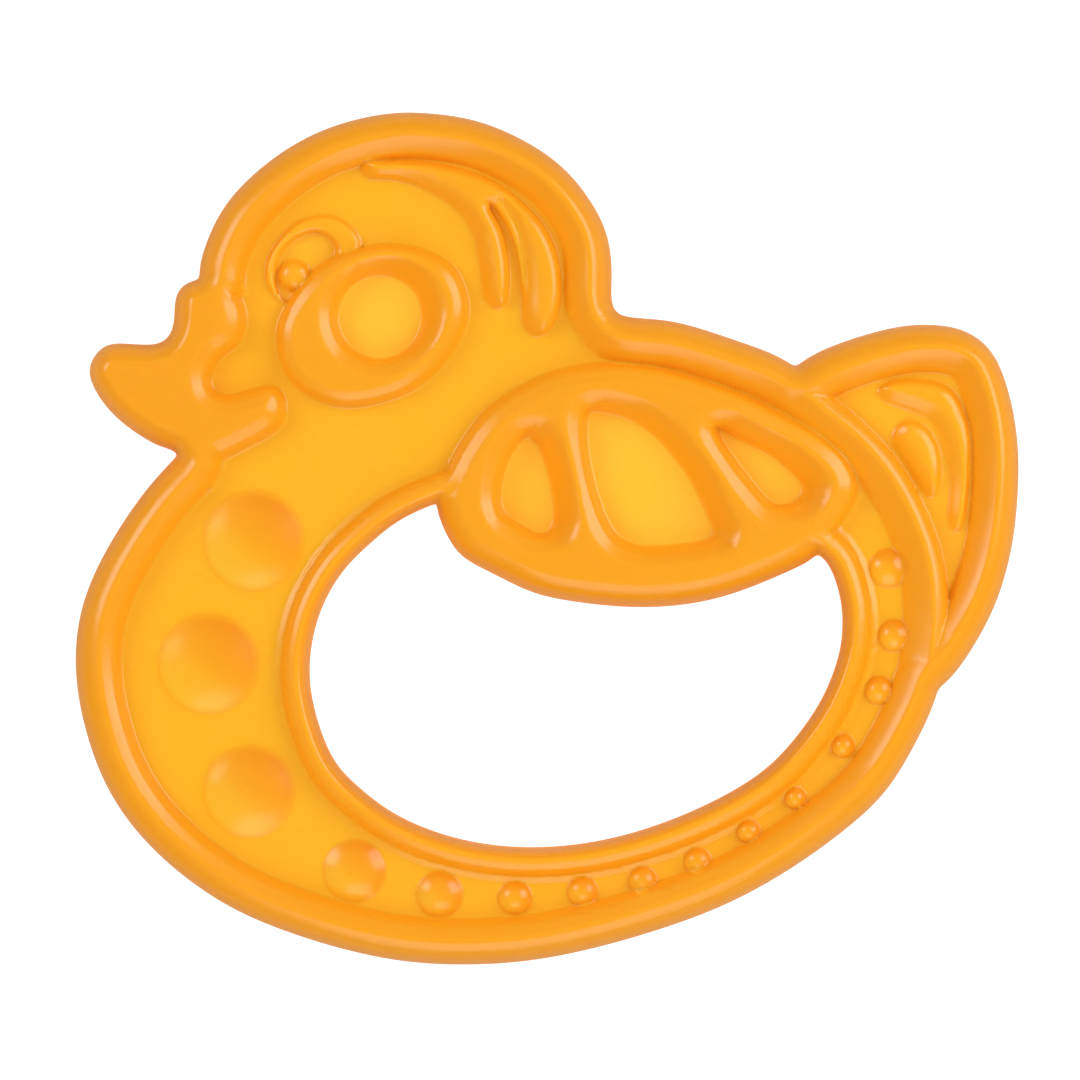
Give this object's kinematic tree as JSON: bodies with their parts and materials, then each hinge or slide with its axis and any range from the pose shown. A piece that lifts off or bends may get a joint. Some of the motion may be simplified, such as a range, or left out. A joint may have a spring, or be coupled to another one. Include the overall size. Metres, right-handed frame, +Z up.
{
  "type": "teething ring",
  "caption": "Flat duck-shaped baby teether in translucent soft plastic, with a rounded rim, raised wing, chewing bumps and a large hand hole.",
  "frame": {"origin": "middle of the duck's length and height, on the surface that it lies on", "axes": "+Z up through the thin way, +Y towards the top of the duck's head, -X the way the beak points"},
  "size_m": [0.1051, 0.095, 0.0095],
  "materials": {
    "soft_plastic": "translucent orange-yellow, smooth moulded, soft gloss"
  },
  "bodies": {
    "root": {"front_half": "soft_plastic", "back_half": "soft_plastic"}
  },
  "joints": []
}
